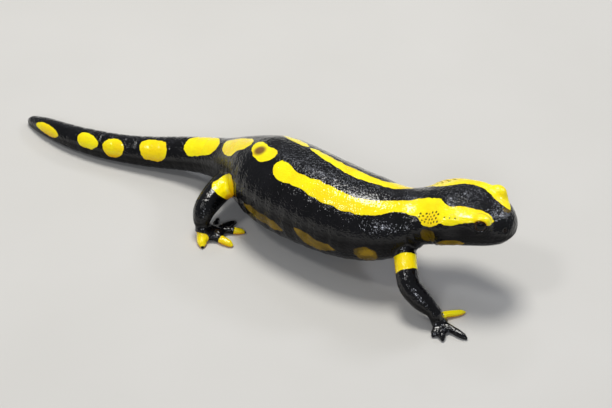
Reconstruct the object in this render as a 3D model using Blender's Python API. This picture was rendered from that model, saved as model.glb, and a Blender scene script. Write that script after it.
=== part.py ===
"""A fire salamander at rest, life size and built whole.

Lengths are millimetres until they reach a mesh. +X runs along the body to the head, +Y to its left, +Z up.
The floor is z = 0: the four feet and the rear of the tail lie on it by small flats.
"""

import bmesh
import bpy
import numpy as np
from mathutils import Matrix, Vector

MM = 0.001
GAP = 0.3
LENGTH = 169.0
STEP = 0.1
# where the box's bottom centre lies, seen from the point of the snout
ORIGIN = np.array([-81.6, 2.0, 0.0])

# The line through the middle of the body: distance from the snout, heading in degrees, height over the floor
SPINE = (
    (0, 5, 22.4), (10, 4, 23.4), (17, 6, 23.0), (23, 17, 21.4), (31, 19, 18.9), (40, 5, 17.3),
    (51, -8, 16.2), (62, -13, 15.5), (74, -19, 14.4), (86, -20, 12.3), (97, -11, 9.8), (110, 6, 7.0),
    (121, 12, 5.2), (133, 9, 4.2), (145, 0, 3.6), (158, -12, 2.7), (169, -17, 0.9),
)
# Sections: distance from the snout, half width, height above the line, depth below it
SECTIONS = (
    (0.0, 0.5, 0.4, 0.4), (0.2, 1.9, 1.3, 1.4), (0.7, 3.4, 2.3, 2.5), (1.9, 5.2, 3.5, 3.8),
    (4.0, 6.9, 4.5, 4.9),
    (6.9, 8.3, 5.3, 5.9), (10.0, 9.3, 5.9, 6.5), (13.7, 10.3, 6.4, 6.9), (18.0, 10.9, 6.8, 7.3),
    (21.0, 10.7, 6.4, 7.5), (25.0, 9.4, 6.3, 7.6), (28.5, 9.5, 7.1, 8.1), (33.0, 10.9, 8.7, 9.7),
    (39.0, 12.6, 10.4, 11.3), (47.5, 13.6, 11.6, 12.4), (58.0, 14.2, 12.3, 12.9), (66.5, 14.4, 12.5, 13.0),
    (75.0, 13.7, 12.3, 12.3), (82.0, 11.5, 10.8, 10.6), (88.5, 8.7, 8.8, 8.8), (95.0, 6.8, 6.8, 7.0),
    (101.0, 5.8, 5.8, 6.0), (110.0, 5.2, 5.2, 5.2), (119.0, 4.8, 4.8, 4.8), (130.0, 4.3, 4.3, 4.3),
    (142.0, 3.9, 4.1, 3.9), (155.0, 3.2, 3.3, 3.2), (164.0, 2.3, 2.4, 2.3), (168.0, 1.4, 1.5, 1.4),
    (169.0, 0.7, 0.7, 0.7),
)
# Lengths of the body: name, from, to, spacing of the sections, points round a section
BODY = (
    ("neck", 24.0, 28.0, 1.0, 40),
    ("torso_front", 28.0, 62.0, 1.35, 36),
    ("torso_rear", 62.0, 97.0, 1.35, 36),
    ("tail_base", 97.0, 121.0, 1.8, 26),
    ("tail_middle", 121.0, 146.0, 1.8, 24),
    ("tail_tip", 146.0, 169.0, 1.6, 20),
)
HEAD_END = 24.0
HEAD_SPACING = 0.8
# above 1, the sections crowd towards the snout
HEAD_CROWDING = 1.55
HEAD_POINTS = 48

# Raised and sunken places of the body
PAROTOID = dict(at=20.2, length=4.9, angle=63.0, spread=18.0, rise=1.1)
BROW = dict(at=12.7, length=4.9, angle=48.0, spread=20.0, rise=1.5)
ORBIT = dict(at=8.3, length=3.7, angle=48.0, spread=24.0, rise=1.2)
SNOUT_RIDGE = dict(at=4.2, length=2.2, angle=56.0, spread=18.0, rise=0.2)
CHEEK = dict(at=16.0, length=4.0, angle=105.0, spread=20.0, rise=0.5)
COSTAL_FIRST = 38.0
COSTAL_LAST = 88.0
COSTAL_PERIOD = 4.6
COSTAL_DEPTH = 0.13
BACK_FURROW = 0.3
NECK_FOLD_AT = 26.0
NECK_FOLD_DEPTH = 0.7
VENT_AT = 97.0
VENT_RISE = 0.7

# Mouth: distance from the snout and height from the line through the body
MOUTH = ((-3.0, -1.2), (0.0, -1.2), (2.0, -1.5), (5.0, -1.9), (9.0, -2.1), (12.0, -2.3), (14.8, -3.1))
MOUTH_CORNER = 14.4

EYE_AT = 8.1
EYE_OUT = 6.9
EYE_UP = 4.1
EYE_RADIUS = 2.2
# The lids: half sizes along, across and up, and the opening between them seen from the eye's middle
LIDS = (3.1, 2.8, 2.65)
OPENING = (2.2, 2.6, 1.65)
OPENING_FORWARD = 0.35
OPENING_OUT = 2.3
OPENING_UP = 0.3
NOSTRIL_AT = 2.0
NOSTRIL_ANGLE = 52.0
NOSTRIL_RADIUS = 0.45

# Legs, from inside the body to the wrist or ankle: forward, outward and height from where the leg stands,
# and the half thickness there.
# Toes: forward and outward of the tip, half thickness, forward and outward of the root
FRONT_RIGHT = dict(
    at=33.0, side=1,
    leg=((1.0, 3.0, 15.0, 3.4), (2.6, 7.4, 14.2, 3.3), (3.9, 12.7, 11.8, 3.1), (5.5, 16.6, 9.2, 3.15),
         (8.9, 18.7, 6.7, 2.95), (12.0, 20.1, 4.9, 2.2)),
    palm=(14.2, 20.6, 2.4),
    toes=((13.0, 26.0, 1.0, 13.8, 22.6), (16.0, 27.2, 1.1, 14.8, 22.6), (22.4, 25.2, 1.1, 16.0, 21.6),
          (20.8, 14.4, 1.05, 14.6, 17.8)),
)
FRONT_LEFT = dict(
    at=33.0, side=-1,
    leg=((0.0, 3.0, 14.6, 3.4), (-1.4, 7.4, 13.6, 3.3), (-3.6, 11.6, 11.6, 3.0), (-5.2, 14.8, 9.2, 2.9),
         (-3.2, 16.6, 6.9, 2.7), (-0.6, 17.8, 5.0, 2.05)),
    palm=(2.4, 18.8, 2.3),
    toes=((0.0, 24.4, 1.0, 1.2, 20.5), (4.6, 26.2, 1.1, 3.0, 20.7), (9.6, 23.4, 1.1, 4.2, 19.8),
          (9.4, 15.2, 1.0, 3.6, 16.6)),
)
HIND_RIGHT = dict(
    at=91.0, side=1,
    leg=((2.6, 1.5, 10.2, 3.7), (3.2, 6.5, 10.2, 4.0), (3.6, 10.6, 9.9, 3.9), (4.8, 15.8, 9.1, 3.6),
         (5.7, 19.4, 7.6, 3.2), (6.4, 21.2, 4.7, 2.35)),
    palm=(9.2, 19.0, 3.1),
    toes=((11.2, 25.2, 1.5, 7.3, 22.0), (16.7, 18.5, 1.25, 11.6, 19.4), (14.7, 11.6, 1.1, 10.4, 15.6),
          (9.4, 10.2, 1.0, 8.6, 16.0), (4.4, 12.8, 0.9, 6.9, 16.8)),
)
HIND_LEFT = dict(
    at=91.0, side=-1,
    leg=((2.0, 1.5, 9.0, 3.4), (0.0, 5.6, 8.4, 3.6), (-4.0, 9.6, 7.2, 3.3), (-8.0, 12.4, 6.0, 3.0),
         (-10.0, 14.4, 5.2, 2.6), (-11.0, 15.4, 4.6, 2.3)),
    palm=(-11.0, 17.2, 2.8),
    toes=((-17.0, 17.8, 0.9, -13.2, 17.0), (-15.8, 22.2, 1.0, -12.6, 18.8), (-10.6, 24.4, 1.1, -11.0, 19.6),
          (-5.4, 22.0, 1.2, -9.2, 18.9), (-4.4, 16.4, 1.0, -8.8, 16.4)),
)
LEG_POINTS = 14
FOOT_POINTS = 12
TOE_POINTS = 8
PALM_HEIGHT = 1.25
TOE_HEIGHT = 0.75


def smooth(table, at):
    """Values of a table, joined by curves that never overshoot its rows."""
    table = np.asarray(table, float)
    x, y = table[:, 0], table[:, 1:]
    width = np.diff(x)[:, None]
    slope = np.diff(y, axis=0) / width
    mean = (width[1:] * slope[:-1] + width[:-1] * slope[1:]) / (width[1:] + width[:-1])
    limit = 2 * np.minimum(abs(slope[:-1]), abs(slope[1:]))
    inner = np.where(slope[:-1] * slope[1:] > 0, np.sign(mean) * np.minimum(abs(mean), limit), 0)
    tangent = np.vstack([slope[:1], inner, slope[-1:]])
    at = np.clip(np.atleast_1d(np.asarray(at, float)), x[0], x[-1])
    i = np.clip(np.searchsorted(x, at, side="right") - 1, 0, len(x) - 2)
    t = ((at - x[i]) / (x[i + 1] - x[i]))[:, None]
    return (
        (1 + 2 * t) * (1 - t) ** 2 * y[i]
        + t * (1 - t) ** 2 * width[i] * tangent[i]
        + t * t * (3 - 2 * t) * y[i + 1]
        + t * t * (t - 1) * width[i] * tangent[i + 1]
    )


def lay_spine():
    """The line through the body every STEP from the snout, with its forward, right and up directions."""
    at = np.arange(0, LENGTH + STEP / 2, STEP)
    rows = smooth(SPINE, at)
    heading = np.radians(rows[:, 0])
    climb = np.gradient(rows[:, 1], STEP)
    flat = np.sqrt(1 - climb**2)
    x = -np.concatenate([[0], np.cumsum((np.cos(heading) * flat)[:-1] * STEP)])
    y = -np.concatenate([[0], np.cumsum((np.sin(heading) * flat)[:-1] * STEP)])
    centre = np.stack([x, y, rows[:, 1]], 1)
    forward = -np.stack([np.gradient(x, STEP), np.gradient(y, STEP), climb], 1)
    forward /= np.linalg.norm(forward, axis=1)[:, None]
    right = np.cross(forward, [0, 0, 1.0])
    right /= np.linalg.norm(right, axis=1)[:, None]
    return at, centre - ORIGIN, forward, right, np.cross(right, forward), heading


AT, CENTRE, FORWARD, RIGHT, UP, HEADING = lay_spine()


def frame_at(s):
    """Centre, forward, right and up at this distance from the snout; before it they lie straight ahead."""
    inside = float(np.clip(s, 0, LENGTH))
    found = []
    for rows in (CENTRE, FORWARD, RIGHT, UP):
        found.append(np.array([np.interp(inside, AT, rows[:, k]) for k in range(3)]))
    centre, forward, right, up = found
    return centre + forward * (inside - s), forward, right, up


def hump(value, centre, spread):
    return np.exp(-(((value - centre) / spread) ** 2))


def swell(place, s, angle):
    """How far a swelling pushes the skin out, on both sides alike."""
    along = hump(s, place["at"], place["length"])
    return place["rise"] * along * hump(abs(angle), place["angle"], place["spread"])


def outline(s, angle):
    """Sideways and upward size of the section at s, for angles in degrees from the top over the right."""
    half, top, bottom = smooth(SECTIONS, s)[0]
    turn = np.radians(angle)
    across = np.sin(turn)
    upward = np.cos(turn)
    out = np.zeros_like(across)
    for place in (PAROTOID, BROW, ORBIT, SNOUT_RIDGE, CHEEK):
        out += swell(place, s, angle)
    trunk = np.clip((s - COSTAL_FIRST) / 4, 0, 1) * np.clip((COSTAL_LAST - s) / 4, 0, 1)
    flank = hump(abs(angle), 95, 45)
    out -= COSTAL_DEPTH * trunk * flank * (1 + np.cos(2 * np.pi * (s - COSTAL_FIRST) / COSTAL_PERIOD))
    out -= BACK_FURROW * trunk * hump(abs(angle), 0, 11)
    out -= NECK_FOLD_DEPTH * hump(s, NECK_FOLD_AT, 1.2) * hump(abs(angle), 180, 85)
    out += VENT_RISE * hump(s, VENT_AT, 4) * hump(abs(angle), 180, 40)
    return half * across + out * across, np.where(upward > 0, top, bottom) * upward + out * upward


def section(s, points, grow=0.0):
    """Points round the body at s, from the top over the right side."""
    centre, _, right, up = frame_at(s)
    angle = (np.arange(points) * 360.0 / points + 180) % 360 - 180
    across, upward = outline(s, angle)
    size = np.hypot(across, upward)
    factor = (1 + grow / size)[:, None]
    return centre + factor * (across[:, None] * right + upward[:, None] * up)


def solid(name, rings):
    """A closed mesh object through rings of equally many points."""
    shape = bmesh.new()
    rows = [[shape.verts.new(point * MM) for point in ring] for ring in rings]
    for first, second in zip(rows, rows[1:]):
        for k in range(len(first)):
            following = (k + 1) % len(first)
            shape.faces.new((first[k], first[following], second[following], second[k]))
    shape.faces.new(rows[0])
    shape.faces.new(rows[-1])
    bmesh.ops.triangulate(shape, faces=shape.faces[:])
    bmesh.ops.recalc_face_normals(shape, faces=shape.faces[:])
    mesh = bpy.data.meshes.new(name)
    shape.to_mesh(mesh)
    shape.free()
    made = bpy.data.objects.new(name, mesh)
    bpy.context.scene.collection.objects.link(made)
    return made


def body_length(name, start, end, spacing, points, grow=0.0):
    count = max(2, round((end - start) / spacing) + 1)
    return solid(name, [section(s, points, grow) for s in np.linspace(start, end, count)])


def ball(name, centre, radius, round_count, height_count):
    shape = bmesh.new()
    bmesh.ops.create_uvsphere(shape, u_segments=round_count, v_segments=height_count, radius=radius * MM)
    bmesh.ops.translate(shape, vec=centre * MM, verts=shape.verts)
    bmesh.ops.triangulate(shape, faces=shape.faces[:])
    mesh = bpy.data.meshes.new(name)
    shape.to_mesh(mesh)
    shape.free()
    made = bpy.data.objects.new(name, mesh)
    bpy.context.scene.collection.objects.link(made)
    return made


def copy_of(item, name):
    twin = bpy.data.objects.new(name, item.data.copy())
    bpy.context.scene.collection.objects.link(twin)
    return twin


def remove(items):
    for item in items:
        bpy.data.objects.remove(item)


def boolean(target, tools, operation):
    """Joins, cuts or meets the target with closed tools, which are used up."""
    group = bpy.data.collections.new("tools of " + target.name)
    bpy.context.scene.collection.children.link(group)
    for tool in tools:
        bpy.context.scene.collection.objects.unlink(tool)
        group.objects.link(tool)
    modifier = target.modifiers.new("Boolean", "BOOLEAN")
    modifier.operation = operation
    modifier.solver = "EXACT"
    if operation == "INTERSECT":
        modifier.operand_type = "OBJECT"
        modifier.object = tools[0]
    else:
        modifier.operand_type = "COLLECTION"
        modifier.collection = group
    bpy.context.view_layer.objects.active = target
    bpy.ops.object.modifier_apply(modifier=modifier.name)
    remove(tools)
    bpy.data.collections.remove(group)
    keep_largest(target)


def keep_largest(item):
    """Leaves only the biggest connected surface of a mesh."""
    shape = bmesh.new()
    shape.from_mesh(item.data)
    bmesh.ops.remove_doubles(shape, verts=shape.verts[:], dist=0.0002 * MM)
    left = set(shape.faces)
    pieces = []
    while left:
        todo = [left.pop()]
        piece = list(todo)
        while todo:
            for edge in todo.pop().edges:
                for face in edge.link_faces:
                    if face in left:
                        left.discard(face)
                        todo.append(face)
                        piece.append(face)
        pieces.append(piece)
    pieces.sort(key=lambda piece: sum(face.calc_area() for face in piece))
    small = [face for piece in pieces[:-1] for face in piece]
    bmesh.ops.delete(shape, geom=small, context="FACES")
    bmesh.ops.triangulate(shape, faces=shape.faces[:])
    shape.to_mesh(item.data)
    shape.free()


def block(name, corner, size):
    """A box from its lowest corner."""
    x, y, z = corner
    dx, dy, dz = size
    lower = [(x, y, z), (x + dx, y, z), (x + dx, y + dy, z), (x, y + dy, z)]
    upper = [(a, b, z + dz) for a, b, _ in lower]
    return solid(name, [np.array(lower), np.array(upper)])


def under_floor():
    return block("under_floor", (-130.0, -80.0, -20.0), (260.0, 160.0, 20.0))


def jaw_block(name, grow):
    """What lies under the mouth line, in front of its corner."""
    rings = []
    for s in np.linspace(-2.5, MOUTH_CORNER + grow, 22):
        centre, _, right, up = frame_at(s)
        top = float(smooth(MOUTH, s)[0, 0]) + grow
        rings.append(
            np.array([centre + right * u + up * w for u, w in ((-16, -16), (16, -16), (16, top), (-16, top))])
        )
    return solid(name, rings)


def tube(name, rows, points, spacing):
    """A bent rod through rows of x, y, z, half width and half height."""
    rows = np.asarray(rows, float)
    run = np.concatenate([[0], np.cumsum(np.linalg.norm(np.diff(rows[:, :3], axis=0), axis=1))])
    count = max(3, round(run[-1] / spacing) + 1)
    at = np.linspace(0, run[-1], count)
    fine = smooth(np.column_stack([run, rows]), at)
    middle = fine[:, :3]
    along = np.gradient(middle, axis=0)
    along /= np.linalg.norm(along, axis=1)[:, None]
    turn = np.linspace(0, 2 * np.pi, points, endpoint=False)
    rings = []
    for centre, direction, (wide, high) in zip(middle, along, fine[:, 3:]):
        side = np.cross(direction, [0, 0, 1.0])
        side /= np.linalg.norm(side)
        over = np.cross(side, direction)
        rings.append(centre + wide * np.sin(turn)[:, None] * side + high * np.cos(turn)[:, None] * over)
    return solid(name, rings), middle, along


def placed(limb, forward, outward, height):
    """A point of a limb in the part's frame."""
    centre, _, _, _ = frame_at(limb["at"])
    heading = np.interp(limb["at"], AT, HEADING)
    ahead = np.array([np.cos(heading), np.sin(heading), 0])
    aside = np.array([np.sin(heading), -np.cos(heading), 0]) * limb["side"]
    return np.array([centre[0], centre[1], 0]) + ahead * forward + aside * outward + np.array([0, 0, height])


def build_leg(name, limb):
    """The leg outside the body, and a copy grown by the gap that its foot is cut with."""
    rows = [(*placed(limb, f, o, h), r, r) for f, o, h, r in limb["leg"]]
    leg, middle, along = tube(name, rows, LEG_POINTS, 1.6)
    boolean(leg, [body_length("body_grown", 16.0, 112.0, 1.5, 40, GAP)], "DIFFERENCE")
    grown_rows = [(x, y, z, wide + GAP, high + GAP) for x, y, z, wide, high in rows]
    end = np.array(grown_rows[-1][:3]) + along[-1] * GAP
    grown_rows[-1] = (*end, *grown_rows[-1][3:])
    grown = tube("leg_grown", grown_rows, LEG_POINTS, 1.6)[0]
    return leg, grown, middle[-1], along[-1]


def build_foot(name, limb, leg_grown, wrist, along):
    """Palm or sole with its toes, joined, cut clear of the leg and laid flat."""
    forward, outward, half = limb["palm"]
    palm = placed(limb, forward, outward, PALM_HEIGHT)
    reach = palm - wrist
    reach[2] = 0
    reach /= np.linalg.norm(reach)
    thick = limb["leg"][-1][3]
    rows = [
        (*(wrist - along * 1.2), thick * 0.8, thick * 0.8),
        (*(wrist + along * 0.8), thick * 0.98, thick * 0.92),
        (*(palm - reach * half * 0.2 + [0, 0, 0.35]), half * 0.98, PALM_HEIGHT + 0.25),
        (*(palm + reach * half * 0.75), half * 0.7, PALM_HEIGHT - 0.15),
    ]
    foot = tube(name, rows, FOOT_POINTS, 1.2)[0]
    parts = [ball("palm", palm, half, 12, 6)]
    parts[0].data.transform(flatten(palm * MM, (1, 1, (PALM_HEIGHT + 0.1) / half)))
    for index, (forward, outward, radius, root_forward, root_outward) in enumerate(limb["toes"]):
        tip = placed(limb, forward, outward, 0.45)
        root = placed(limb, root_forward, root_outward, 0.45)
        inside = palm + (root - palm) * (0.3 + 0.03 * index)
        half_way = root * 0.5 + tip * 0.5
        near_tip = root * 0.12 + tip * 0.88
        parts.append(
            tube(
                "toe",
                [
                    (inside[0], inside[1], 1.15 + 0.02 * index, radius * 0.9, radius * 0.85),
                    (root[0], root[1], 1.1 + 0.02 * index, radius * 1.05, radius),
                    (half_way[0], half_way[1], 0.95, radius, radius * 0.95),
                    (near_tip[0], near_tip[1], TOE_HEIGHT, radius * 0.72, radius * 0.8),
                    (tip[0], tip[1], 0.45, radius * 0.25, 0.3),
                ],
                TOE_POINTS,
                1.4,
            )[0]
        )
    boolean(foot, parts, "UNION")
    boolean(foot, [leg_grown], "DIFFERENCE")
    boolean(foot, [under_floor()], "DIFFERENCE")
    return foot


def flatten(centre, sizes):
    """A scaling about a point."""
    there = Matrix.Translation(Vector(centre))
    return there @ Matrix.Diagonal((*sizes, 1)) @ there.inverted()


def oval(name, centre, frame, sizes, round_count, height_count):
    """A ball stretched along forward, across and up."""
    made = ball(name, np.zeros(3), 1.0, round_count, height_count)
    forward, right, up = frame
    axes = (forward * sizes[0], -right * sizes[1], up * sizes[2])
    turn = Matrix([[axis[row] for axis in axes] for row in range(3)]).to_4x4()
    made.data.transform(Matrix.Translation(Vector(centre * MM)) @ turn)
    return made


def build_head():
    """The head with its lids, sockets and nostrils, and the lower jaw parted from it by the mouth line."""
    count = round(HEAD_END / HEAD_SPACING)
    rows = [section(s, HEAD_POINTS) for s in HEAD_END * np.linspace(0, 1, count) ** HEAD_CROWDING]
    head = solid("head", rows[:-1] + [section(HEAD_END - GAP / 2, HEAD_POINTS)])
    jaw = copy_of(head, "lower_jaw")
    boolean(jaw, [jaw_block("jaw_inside", -GAP / 2)], "INTERSECT")
    _, *frame = frame_at(EYE_AT)
    forward, right, up = frame
    lids = [oval("lid", eye_centre(side) - up * 0.1, frame, LIDS, 20, 12) for side in (-1, 1)]
    boolean(head, lids, "UNION")
    tools = [jaw_block("jaw_outside", GAP / 2)]
    for side in (-1, 1):
        eye = eye_centre(side)
        slit = eye + forward * OPENING_FORWARD + right * OPENING_OUT * side + up * OPENING_UP
        tools.append(oval("opening", slit, frame, OPENING, 16, 10))
        tools.append(ball("socket", eye, EYE_RADIUS + GAP, 18, 10))
        centre, _, nostril_right, nostril_up = frame_at(NOSTRIL_AT)
        across, upward = outline(NOSTRIL_AT, np.array([NOSTRIL_ANGLE * side]))
        nostril = centre + nostril_right * across[0] + nostril_up * upward[0]
        tools.append(ball("nostril", nostril, NOSTRIL_RADIUS, 10, 6))
    for tool in tools:
        boolean(head, [tool], "DIFFERENCE")
    return head, jaw


def eye_centre(side):
    centre, _, right, up = frame_at(EYE_AT)
    return centre + right * EYE_OUT * side + up * EYE_UP


def material(name, colour, rough):
    made = bpy.data.materials.new(name)
    made.use_nodes = True
    shader = made.node_tree.nodes["Principled BSDF"]
    shader.inputs["Base Color"].default_value = (*colour, 1.0)
    shader.inputs["Roughness"].default_value = rough
    return made


def main():
    remove(list(bpy.data.objects))
    nodes = list(build_head())
    for side, name in ((1, "eye_right"), (-1, "eye_left")):
        nodes.append(ball(name, eye_centre(side), EYE_RADIUS, 18, 10))
    for name, start, end, spacing, points in BODY:
        tail_end = end == LENGTH
        item = body_length(name, start + GAP / 2, end if tail_end else end - GAP / 2, spacing, points)
        if start >= 90:
            boolean(item, [under_floor()], "DIFFERENCE")
        nodes.append(item)
    limbs = (
        ("front_leg_right", "front_foot_right", FRONT_RIGHT),
        ("front_leg_left", "front_foot_left", FRONT_LEFT),
        ("hind_leg_right", "hind_foot_right", HIND_RIGHT),
        ("hind_leg_left", "hind_foot_left", HIND_LEFT),
    )
    for leg_name, foot_name, limb in limbs:
        leg, grown, wrist, along = build_leg(leg_name, limb)
        nodes.append(leg)
        nodes.append(build_foot(foot_name, limb, grown, wrist, along))
    skin_black = (0.012, 0.012, 0.014)
    for node in nodes:
        eye = node.name.startswith("eye")
        node.data.materials.clear()
        node.data.materials.append(material(node.name, (0.005, 0.005, 0.005) if eye else skin_black, 0.2))


main()
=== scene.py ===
"""A fire salamander, life size: a wet skin with yellow markings, two dark eyes, a pale floor and soft light.

Lengths are millimetres until they reach a mesh. +X runs along the body to the head, +Y to its left, +Z up.
"""

import bpy
import numpy as np
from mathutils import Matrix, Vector


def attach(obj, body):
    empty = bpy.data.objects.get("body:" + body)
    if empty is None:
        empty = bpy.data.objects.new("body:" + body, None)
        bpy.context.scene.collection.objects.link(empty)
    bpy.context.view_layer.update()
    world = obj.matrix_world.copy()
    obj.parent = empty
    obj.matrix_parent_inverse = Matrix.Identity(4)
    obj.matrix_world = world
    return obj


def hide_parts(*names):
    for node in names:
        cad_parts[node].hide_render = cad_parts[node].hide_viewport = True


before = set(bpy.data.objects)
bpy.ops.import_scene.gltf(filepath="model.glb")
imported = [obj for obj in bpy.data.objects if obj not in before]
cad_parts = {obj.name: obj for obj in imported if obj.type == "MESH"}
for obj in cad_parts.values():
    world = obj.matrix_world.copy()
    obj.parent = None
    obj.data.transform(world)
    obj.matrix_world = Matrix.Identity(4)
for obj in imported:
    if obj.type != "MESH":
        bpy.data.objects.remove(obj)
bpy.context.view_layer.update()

MM = 0.001
# Sockets of a Mix node for colours, which share their names with others
MIX_SHARE = 0
MIX_FIRST = 6
MIX_SECOND = 7
MIX_RESULT = 2

# The camera of the photograph
CAMERA_TARGET = (13.53, 7.22, 0.0)
CAMERA_TURN = 28.0
CAMERA_RISE = 38.0
CAMERA_DISTANCE = 506.88
CAMERA_LENS = 102.21

# Round lamps: place and width in metres, watts and tint. The small ones make the glints on wet skin
LIGHTS = (
    ("overhead", (-0.09, 0.14, 0.79), 0.3, 4.8, "#fffdf8"),
    ("sparkle", (-0.24, -0.35, 0.72), 0.14, 0.9, "#ffffff"),
    ("behind", (-0.34, 0.50, 0.66), 0.13, 0.45, "#f0f4ff"),
    ("behind_crown", (-0.16, 0.66, 0.56), 0.05, 0.12, "#f0f4ff"),
    ("behind_snout", (0.37, 0.60, 0.55), 0.14, 1.2, "#f0f4ff"),
    ("front", (0.33, -0.62, 0.46), 0.16, 1.2, "#f0f4ff"),
)
ROOM_LIGHT = 0.26
FLOOR_SIZE = 4.0

# The line through the body, as the solids have it: distance from the snout, heading, height over the floor
LENGTH = 169.0
STEP = 0.1
# Points that are placed along it at a time
BLOCK = 20000
ORIGIN = np.array([-81.6, 2.0, 0.0])
SPINE = (
    (0, 5, 22.4), (10, 4, 23.4), (17, 6, 23.0), (23, 17, 21.4), (31, 19, 18.9), (40, 5, 17.3),
    (51, -8, 16.2), (62, -13, 15.5), (74, -19, 14.4), (86, -20, 12.3), (97, -11, 9.8), (110, 6, 7.0),
    (121, 12, 5.2), (133, 9, 4.2), (145, 0, 3.6), (158, -12, 2.7), (169, -17, 0.9),
)
# Sections: distance from the snout, half width, height above the line, depth below it
SECTIONS = (
    (0.0, 0.5, 0.4, 0.4), (0.2, 1.9, 1.3, 1.4), (0.7, 3.4, 2.3, 2.5), (1.9, 5.2, 3.5, 3.8),
    (4.0, 6.9, 4.5, 4.9),
    (6.9, 8.3, 5.3, 5.9), (10.0, 9.3, 5.9, 6.5), (13.7, 10.3, 6.4, 6.9), (18.0, 10.9, 6.8, 7.3),
    (21.0, 10.7, 6.4, 7.5), (25.0, 9.4, 6.3, 7.6), (28.5, 9.5, 7.1, 8.1), (33.0, 10.9, 8.7, 9.7),
    (39.0, 12.6, 10.4, 11.3), (47.5, 13.6, 11.6, 12.4), (58.0, 14.2, 12.3, 12.9), (66.5, 14.4, 12.5, 13.0),
    (75.0, 13.7, 12.3, 12.3), (82.0, 11.5, 10.8, 10.6), (88.5, 8.7, 8.8, 8.8), (95.0, 6.8, 6.8, 7.0),
    (101.0, 5.8, 5.8, 6.0), (110.0, 5.2, 5.2, 5.2), (119.0, 4.8, 4.8, 4.8), (130.0, 4.3, 4.3, 4.3),
    (142.0, 3.9, 4.1, 3.9), (155.0, 3.2, 3.3, 3.2), (164.0, 2.3, 2.4, 2.3), (168.0, 1.4, 1.5, 1.4),
    (169.0, 0.7, 0.7, 0.7),
)
# Limbs, as the solids have them: where along the body each stands, and from there, forward and outward, the
# leg with its height and half thickness, the middle of the palm or sole, and the tip and root of each toe
FRONT_RIGHT = dict(
    at=33.0, side=1,
    leg=((1.0, 3.0, 15.0, 3.4), (2.6, 7.4, 14.2, 3.3), (3.9, 12.7, 11.8, 3.1), (5.5, 16.6, 9.2, 3.15),
         (8.9, 18.7, 6.7, 2.95), (12.0, 20.1, 4.9, 2.2)),
    palm=(14.2, 20.6),
    toes=((13.0, 26.0, 13.8, 22.6), (16.0, 27.2, 14.8, 22.6), (22.4, 25.2, 16.0, 21.6),
          (20.8, 14.4, 14.6, 17.8)),
)
FRONT_LEFT = dict(
    at=33.0, side=-1,
    leg=((0.0, 3.0, 14.6, 3.4), (-1.4, 7.4, 13.6, 3.3), (-3.6, 11.6, 11.6, 3.0), (-5.2, 14.8, 9.2, 2.9),
         (-3.2, 16.6, 6.9, 2.7), (-0.6, 17.8, 5.0, 2.05)),
    palm=(2.4, 18.8),
    toes=((0.0, 24.4, 1.2, 20.5), (4.6, 26.2, 3.0, 20.7), (9.6, 23.4, 4.2, 19.8), (9.4, 15.2, 3.6, 16.6)),
)
HIND_RIGHT = dict(
    at=91.0, side=1,
    leg=((2.6, 1.5, 10.2, 3.7), (3.2, 6.5, 10.2, 4.0), (3.6, 10.6, 9.9, 3.9), (4.8, 15.8, 9.1, 3.6),
         (5.7, 19.4, 7.6, 3.2), (6.4, 21.2, 4.7, 2.35)),
    palm=(9.2, 19.0),
    toes=((11.2, 25.2, 7.3, 22.0), (16.7, 18.5, 11.6, 19.4), (14.7, 11.6, 10.4, 15.6), (9.4, 10.2, 8.6, 16.0),
          (4.4, 12.8, 6.9, 16.8)),
)
HIND_LEFT = dict(
    at=91.0, side=-1,
    leg=((2.0, 1.5, 9.0, 3.4), (0.0, 5.6, 8.4, 3.6), (-4.0, 9.6, 7.2, 3.3), (-8.0, 12.4, 6.0, 3.0),
         (-10.0, 14.4, 5.2, 2.6), (-11.0, 15.4, 4.6, 2.3)),
    palm=(-11.0, 17.2),
    toes=((-17.0, 17.8, -13.2, 17.0), (-15.8, 22.2, -12.6, 18.8), (-10.6, 24.4, -11.0, 19.6),
          (-5.4, 22.0, -9.2, 18.9), (-4.4, 16.4, -8.8, 16.4)),
)
LIMBS = (FRONT_RIGHT, FRONT_LEFT, HIND_RIGHT, HIND_LEFT)
PALM_HEIGHT = 1.25

# The skin's mesh: size of its faces, how far the solids grow into each other across their cuts, how far back
# the head's faces are finer, and rounds of smoothing before and after that
VOXEL = 0.47
GROW = 0.3
HEAD_FINE_TO = 21.5
SMOOTH_ROUNDS = 8
HEAD_ROUNDS = 2
# Skin lower than this lies flat on the floor
FOOTING = 0.05
# How far the skin faces down, from -1 for up to 1 for down, where its underside begins and is complete.
# There the yellow is painted a deeper orange as shade
FACING_DOWN = (-0.35, 0.25)

# Relief of the skin, with the costal grooves first: where they start and end, their spacing and depth
COSTAL_FIRST = 38.0
COSTAL_LAST = 88.0
COSTAL_PERIOD = 4.6
COSTAL_DEPTH = 0.07
# The stripes' edges wave by this much with the costal grooves
SCALLOP = 0.10
# Fine creases of the flanks, from two waves along the body
CREASE_PERIODS = (2.6, 1.7)
CREASE_DEPTH = 0.03
# Rings round the tail
RING_PERIOD = 3.9
RING_DEPTH = 0.10
# Folds round the throat: distance from the snout, depth and half width
THROAT_FOLDS = ((22.6, 0.22, 0.5), (24.2, 0.3, 0.5), (27.8, 0.3, 0.6), (30.0, 0.22, 0.6))
# The vent, a slit under the root of the tail
VENT_AT = 97.0
VENT_LENGTH = 4.4
VENT_DEPTH = 0.35
# The line of the mouth: distance from the snout and height from the line through the body
MOUTH = ((-3.0, -1.2), (0.0, -1.2), (2.0, -1.5), (5.0, -1.9), (9.0, -2.1), (12.0, -2.3), (14.8, -3.1))
MOUTH_CORNER = 14.6
MOUTH_DEPTH = 0.55
MOUTH_WIDTH = 0.48
# How far the upper lip swells and the lower one is set back
UPPER_LIP = 0.12
LOWER_LIP = 0.30
# Nostrils: distance from the snout and degrees from the top
NOSTRIL_AT = 2.0
NOSTRIL_ANGLE = 52.0
NOSTRIL_RADIUS = 0.55
NOSTRIL_DEPTH = 0.6
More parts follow.
